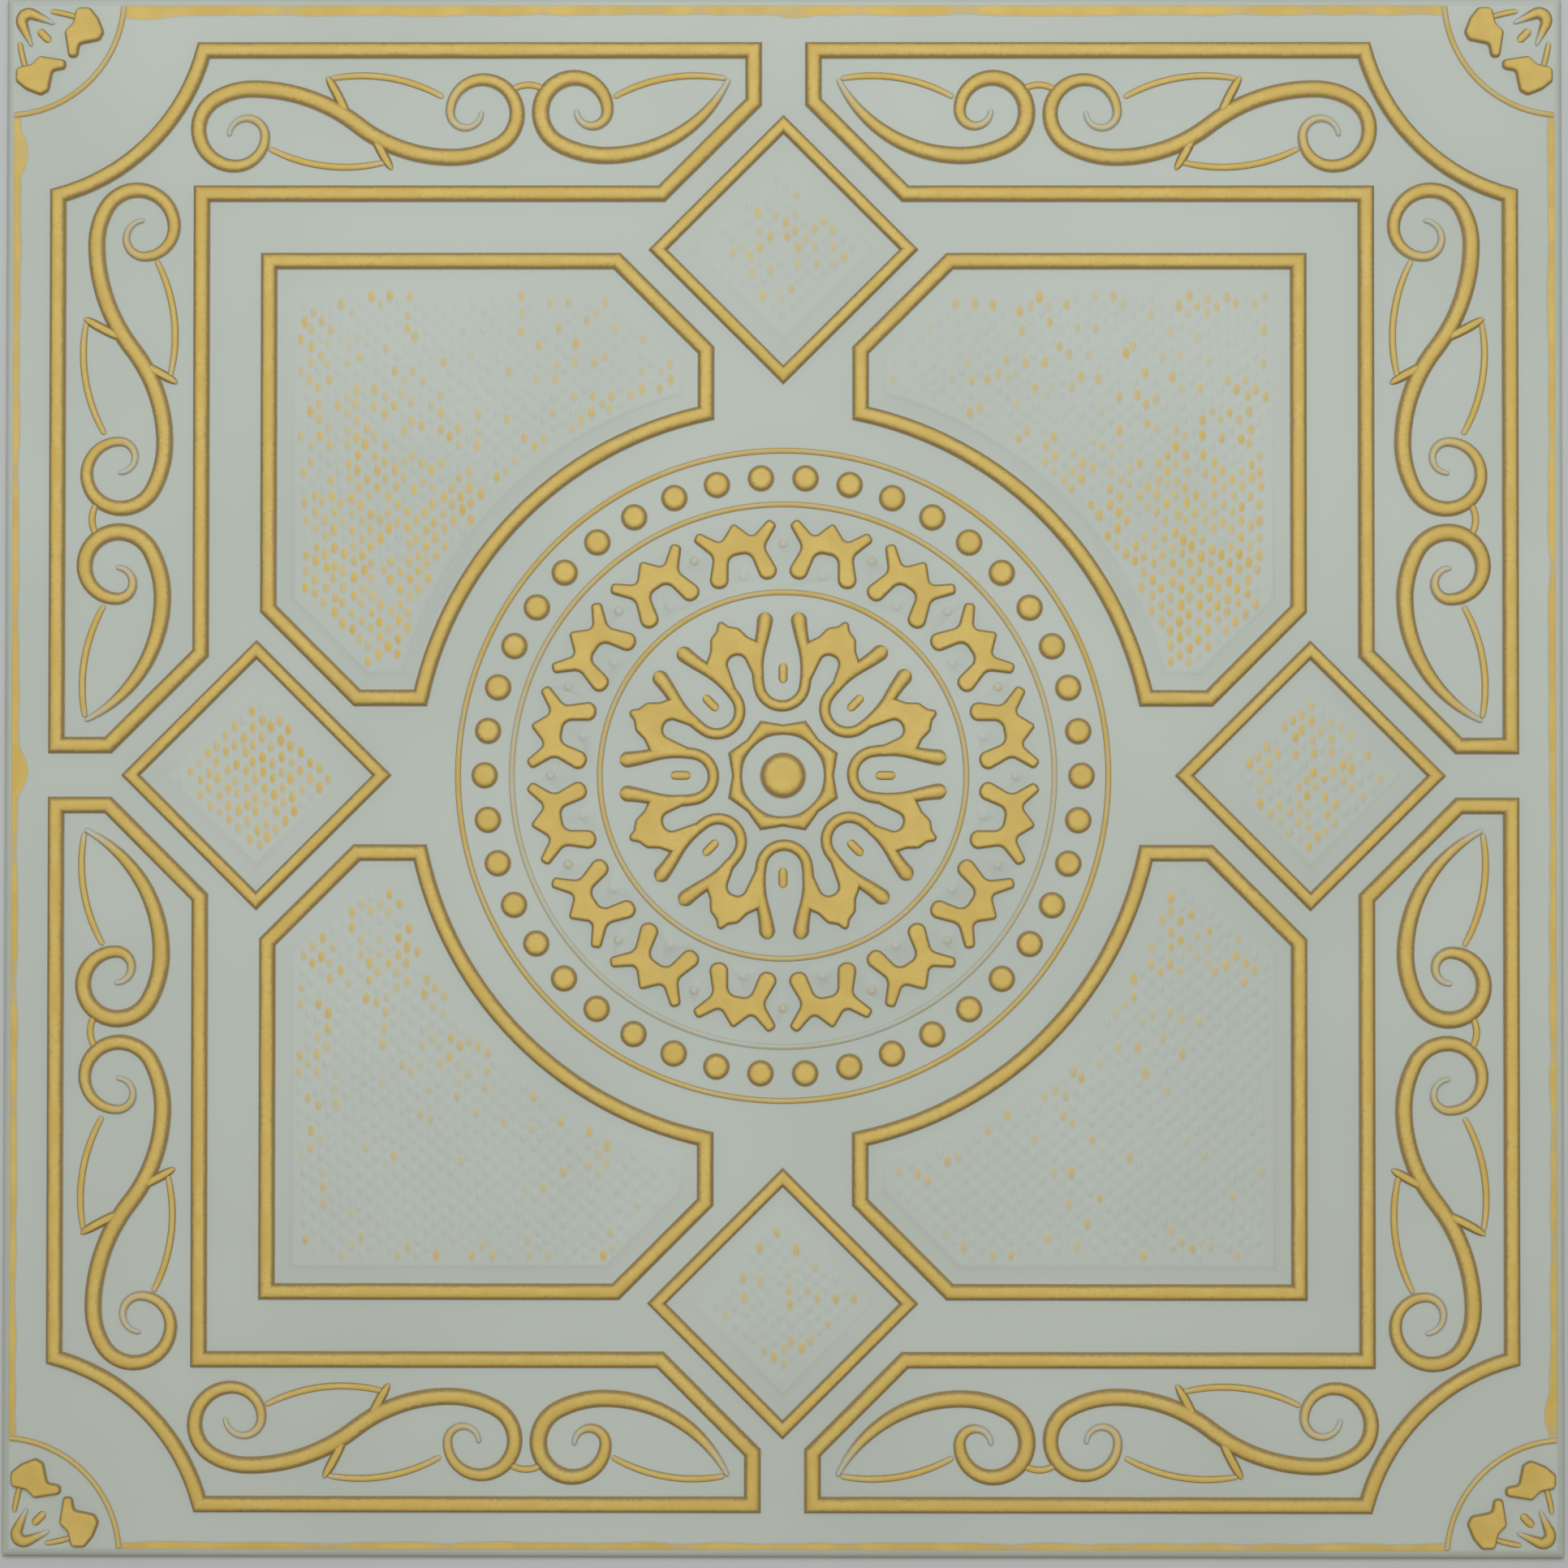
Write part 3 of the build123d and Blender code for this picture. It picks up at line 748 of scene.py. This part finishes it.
def painted_foam(colours):
    """Pale matte foam with gold paint rolled over the raised ornament.

    The paint attribute says how much paint a place took, and the crown attribute how high it lies on its ridge.
    Noise wears the paint. The coat is duller and darker on the flanks, partly thin paint and partly painted
    shade, and full on the crown. Bare foam has faint clouds.
    """
    material, tree, shader = new_material("gilt_foam")
    place = add(tree, "ShaderNodeTexCoord").outputs["Object"]
    foam = clouds(tree, place, 9.0, colours.foam, colours.foam_shade)["Colour"]
    gold = clouds(tree, place, 90.0, colours.gold, colours.gold_shade)
    grain = noise(tree, place, 900.0)
    taken = add(tree, "ShaderNodeAttribute", attribute_name=PAINT).outputs["Fac"]
    crown = add(tree, "ShaderNodeAttribute", attribute_name=CROWN).outputs["Fac"]
    line = edge_paint(tree, place)
    uneven = calc(tree, "MULTIPLY_ADD", calc(tree, "ADD", gold["Cloud"], grain), 0.3, -0.3)
    worn = calc(tree, "ADD", calc(tree, "MULTIPLY", taken, ramp(tree, crown, 0.0, 0.45)), uneven)
    cover = calc(tree, "MAXIMUM", ramp(tree, worn, 0.12, 0.75), line)
    # Below the crown the coat turns to the darker flank colour, partly thin paint and partly painted shade.
    full = calc(tree, "MAXIMUM", ramp(tree, calc(tree, "ADD", crown, uneven), 0.58, 1.0), line)
    paint = mix(tree, full, solid(colours.flank_film_and_shade), gold["Colour"])
    tree.links.new(mix(tree, cover, foam, paint), shader.inputs["Base Color"])
    rough = ramp(tree, cover, 0.0, 1.0, colours.foam_roughness, colours.gold_roughness)
    tree.links.new(rough, shader.inputs["Roughness"])
    bump = add(tree, "ShaderNodeBump", {"Strength": 0.12, "Distance": 0.15 * MM, "Height": grain})
    tree.links.new(bump.outputs["Normal"], shader.inputs["Normal"])
    shader.inputs["Specular IOR Level"].default_value = 0.3
    return material


def finish_piece(piece, material):
    """Material and body of a piece of the tile."""
    piece.data.materials.clear()
    piece.data.materials.append(material)
    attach(piece, "root")


class TILE_OT_pressed_face(bpy.types.Operator):
    """Build the foam sheet with its whole pressed ornament as one skin"""
    bl_idname = "tile.pressed_face"
    bl_label = "Pressed face"

    def execute(self, context):
        scene = context.scene
        sheet, rails, medal = scene.tile_sheet, scene.tile_rails, scene.tile_medallion
        big, sprigs, tendrils = scrolls(rails, scene.tile_scrolls)
        corners, corner_tendrils = corner_rosettes(sheet, medal)
        groups = {
            "main_relief": rails_and_pads(rails) + medallion(medal) + big + corners,
            "loops_and_sprigs": loops(medal) + sprigs + corner_tendrils,
            "tendrils": tendrils,
        }
        base = new_object("pressed_tile", mesh_of("pressed_tile", [sheet_shell(sheet)]))
        layers = [mesh_of(name, shells, sheet.thickness) for name, shells in groups.items()]
        unite(base, [new_object(layer.name, layer) for layer in layers])
        finish_piece(base, painted_foam(scene.tile_paint))
        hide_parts("ceiling_tile")
        return {"FINISHED"}


def rail_distance(x, y, rails):
    """Distance of places from the nearest rail of the panel or diamond round them, below zero elsewhere."""
    far, near = np.maximum(np.abs(x), np.abs(y)), np.minimum(np.abs(x), np.abs(y))
    from_diamond = near + np.abs(far - HALF + rails.diamond_inset)
    in_diamond = (rails.diamond_reach - from_diamond) / math.sqrt(2)
    sides = [HALF - rails.panel_inset - far, near - rails.panel_gap, np.hypot(x, y) - rails.panel_radius,
             -in_diamond - rails.clearance]
    return np.maximum(np.min(sides, axis=0), in_diamond)


def knob_places(rails, sizes, random):
    """Staggered columns of places that wander sideways, jittered, where a whole knob lies on a bed."""
    columns = np.arange(-HALF, HALF, sizes.column_pitch)
    rows = np.arange(-HALF, HALF, sizes.row_pitch)
    x, y = (grid.ravel() for grid in np.meshgrid(columns, rows))
    y = y + np.round((x + HALF) / sizes.column_pitch) % 2 * sizes.row_pitch / 2
    x = x + sizes.wander * np.sin(y / (17 * MM) + x / (60 * MM)) + random.normal(0, 0.22 * MM, x.size)
    y = y + random.normal(0, 0.4 * MM, y.size)
    margin = rails.pad_margin + rails.pad_edge
    wide, tall = sizes.width / 2, sizes.stretch * sizes.width / 2
    ends = [(wide, 0), (-wide, 0), (0, tall), (0, -tall)]
    keep = np.all([rail_distance(x + right, y + up, rails) > margin for right, up in ends], axis=0)
    return x[keep], y[keep]


def painted_share(x, y, rails):
    """Share of tips that took paint, 1 - the product of (1 - share * exp(-(distance / reach)^2)).

    The product runs over the roller's patches and the borders of the panels' beds.
    """
    edge = rails.pad_margin + rails.pad_edge
    border = np.where(np.abs(x) > rails.panel_gap, HALF - rails.panel_inset - edge - np.abs(y), HALF)
    hollow = np.hypot(x, y) - rails.panel_radius - edge
    marks = [(border, *BORDER_BAND), (hollow, *HOLLOW_BAND)]
    marks += [(np.hypot(x - px * MM, y - py * MM), amount, reach) for px, py, reach, amount in ROLLER_PATCHES]
    bare = [1 - amount * np.exp(-(distance / (reach * MM)) ** 2) for distance, amount, reach in marks]
    bare = np.prod(bare, axis=0)
    return STRAY_TIPS + (1 - STRAY_TIPS) * (1 - bare)


def knob_shell():
    """Knob of unit size: loops of radius r at heights cos(pi r / 2.3)^2 - 0.04, its foot just under the bed.

    The paint thins out towards the foot.
    """
    radius = np.array([1.15, 0.75, 0.38])
    up = np.cos(np.pi * radius / 2.3) ** 2 - 0.04
    rim = circle(1.0, 10)
    loops = np.dstack([radius[:, None, None] * rim, np.broadcast_to(up[:, None], (len(up), len(rim)))])
    return stack(loops, np.clip(3.5 * up, 0, 1)[:, None], 1.0)


class TILE_OT_stipple(bpy.types.Operator):
    """Set low oval knobs over the beds of the panels and diamonds, some with painted tips"""
    bl_idname = "tile.stipple"
    bl_label = "Stipple"

    def execute(self, context):
        scene = context.scene
        rails, sizes = scene.tile_rails, scene.tile_stipple
        random = np.random.default_rng(sizes.seed)
        x, y = knob_places(rails, sizes, random)
        knob = knob_shell()
        scale = sizes.width / 2 * random.uniform(0.85, 1.08, x.size)[:, None]
        tall = sizes.height * random.uniform(0.6, 1.3, x.size)[:, None]
        points = np.dstack([
            x[:, None] + scale * knob.points[:, 0],
            y[:, None] + scale * sizes.stretch * knob.points[:, 1],
            tall * knob.points[:, 2],
        ])
        share_painted = painted_share(x, y, rails)
        coat = random.uniform(0.28, 0.5, x.size) + 0.22 * share_painted
        taken = np.where(random.random(x.size) < share_painted, coat, 0.0)
        offset = (np.arange(x.size) * len(knob.points))[:, None, None]
        looks = np.dstack([taken[:, None] * knob.looks[:, 0], np.ones((x.size, len(knob.points)))])
        quads = (knob.quads[None] + offset).reshape(-1, 4)
        caps = [row for cap in knob.caps for row in cap[None] + offset[:, 0]]
        top = scene.tile_sheet.thickness + rails.pad_height
        mesh = mesh_of("panel_stipple", [Shell(points.reshape(-1, 3), looks.reshape(-1, 2), quads, caps)], top)
        smooth(mesh)
        finish_piece(new_object("panel_stipple", mesh), bpy.data.materials["gilt_foam"])
        return {"FINISHED"}


def floor_material(value):
    """Plain pale floor with faint clouds."""
    material, tree, shader = new_material("pale_floor")
    place = add(tree, "ShaderNodeTexCoord").outputs["Object"]
    darker = tuple(0.97 * c for c in value)
    cloud = clouds(tree, place, 6.0, value, darker)
    tree.links.new(cloud["Colour"], shader.inputs["Base Color"])
    shader.inputs["Roughness"].default_value = 0.9
    return material


class TILE_OT_stage(bpy.types.Operator):
    """Set the floor, the soft light from the upper side, the light from all round and the camera"""
    bl_idname = "tile.stage"
    bl_label = "Stage"

    def execute(self, context):
        scene = context.scene
        stage = scene.tile_stage
        corners = 3.0 * np.array([(-1, -1, 0), (1, -1, 0), (1, 1, 0), (-1, 1, 0)]) - (0, 0, 0.3 * MM)
        mesh = bpy.data.meshes.new("floor")
        mesh.from_pydata(corners.tolist(), [], [(0, 1, 2, 3)])
        mesh.materials.append(floor_material(stage.floor))
        new_object("floor", mesh)
        key = bpy.data.lights.new("key", "AREA")
        key.shape = "DISK"
        key.size = stage.key_size
        key.energy = stage.key_power
        key.color = stage.key
        lamp = bpy.data.objects.new("key", key)
        lamp.location = (0.0, stage.key_forward, stage.key_height)
        lamp.rotation_euler = (-math.atan2(stage.key_forward, stage.key_height), 0.0, 0.0)
        scene.collection.objects.link(lamp)
        world = bpy.data.worlds.new("sky")
        world.use_nodes = True
        sky = world.node_tree.nodes["Background"]
        sky.inputs["Color"].default_value = solid(stage.sky)
        sky.inputs["Strength"].default_value = stage.sky_strength
        scene.world = world
        lens = bpy.data.cameras.new("camera")
        lens.sensor_width = 36.0
        lens.lens = stage.lens
        camera = bpy.data.objects.new("camera", lens)
        camera.location = (stage.camera_right, -stage.camera_back,
                           scene.tile_sheet.thickness + stage.camera_height)
        camera.rotation_euler = tuple(math.radians(angle) for angle in (0.8628, 0.2502, 0.0443))
        scene.collection.objects.link(camera)
        scene.camera = camera
        scene.view_settings.view_transform = "Standard"
        return {"FINISHED"}


class TILE_PT_panel(bpy.types.Panel):
    """Lists the tile's builders and their sizes"""
    bl_label = "Pressed ceiling tile"
    bl_idname = "TILE_PT_panel"
    bl_space_type = "VIEW_3D"
    bl_region_type = "UI"
    bl_category = "Tile"

    def draw(self, context):
        for operator in (TILE_OT_pressed_face, TILE_OT_stipple, TILE_OT_stage):
            self.layout.operator(operator.bl_idname)
        for name, group in GROUPS.items():
            box = self.layout.box()
            box.label(text=group.__doc__)
            for key in group.__annotations__:
                box.prop(getattr(context.scene, name), key)


GROUPS = {
    "tile_sheet": SheetSizes,
    "tile_rails": RailSizes,
    "tile_medallion": MedallionSizes,
    "tile_scrolls": ScrollSizes,
    "tile_stipple": StippleSizes,
    "tile_paint": PaintColours,
    "tile_stage": StageSettings,
}
CLASSES = (*GROUPS.values(), TILE_OT_pressed_face, TILE_OT_stipple, TILE_OT_stage, TILE_PT_panel)


def register():
    """Registers the classes and hangs the settings on the scene."""
    for item in CLASSES:
        bpy.utils.register_class(item)
    for name, group in GROUPS.items():
        setattr(bpy.types.Scene, name, PointerProperty(type=group))


def unregister():
    """Takes the settings and classes away again."""
    for name in GROUPS:
        delattr(bpy.types.Scene, name)
    for item in reversed(CLASSES):
        bpy.utils.unregister_class(item)


def main():
    """Builds the tile and its stage."""
    register()
    bpy.ops.tile.pressed_face()
    bpy.ops.tile.stipple()
    bpy.ops.tile.stage()


if __name__ == "__main__":
    main()
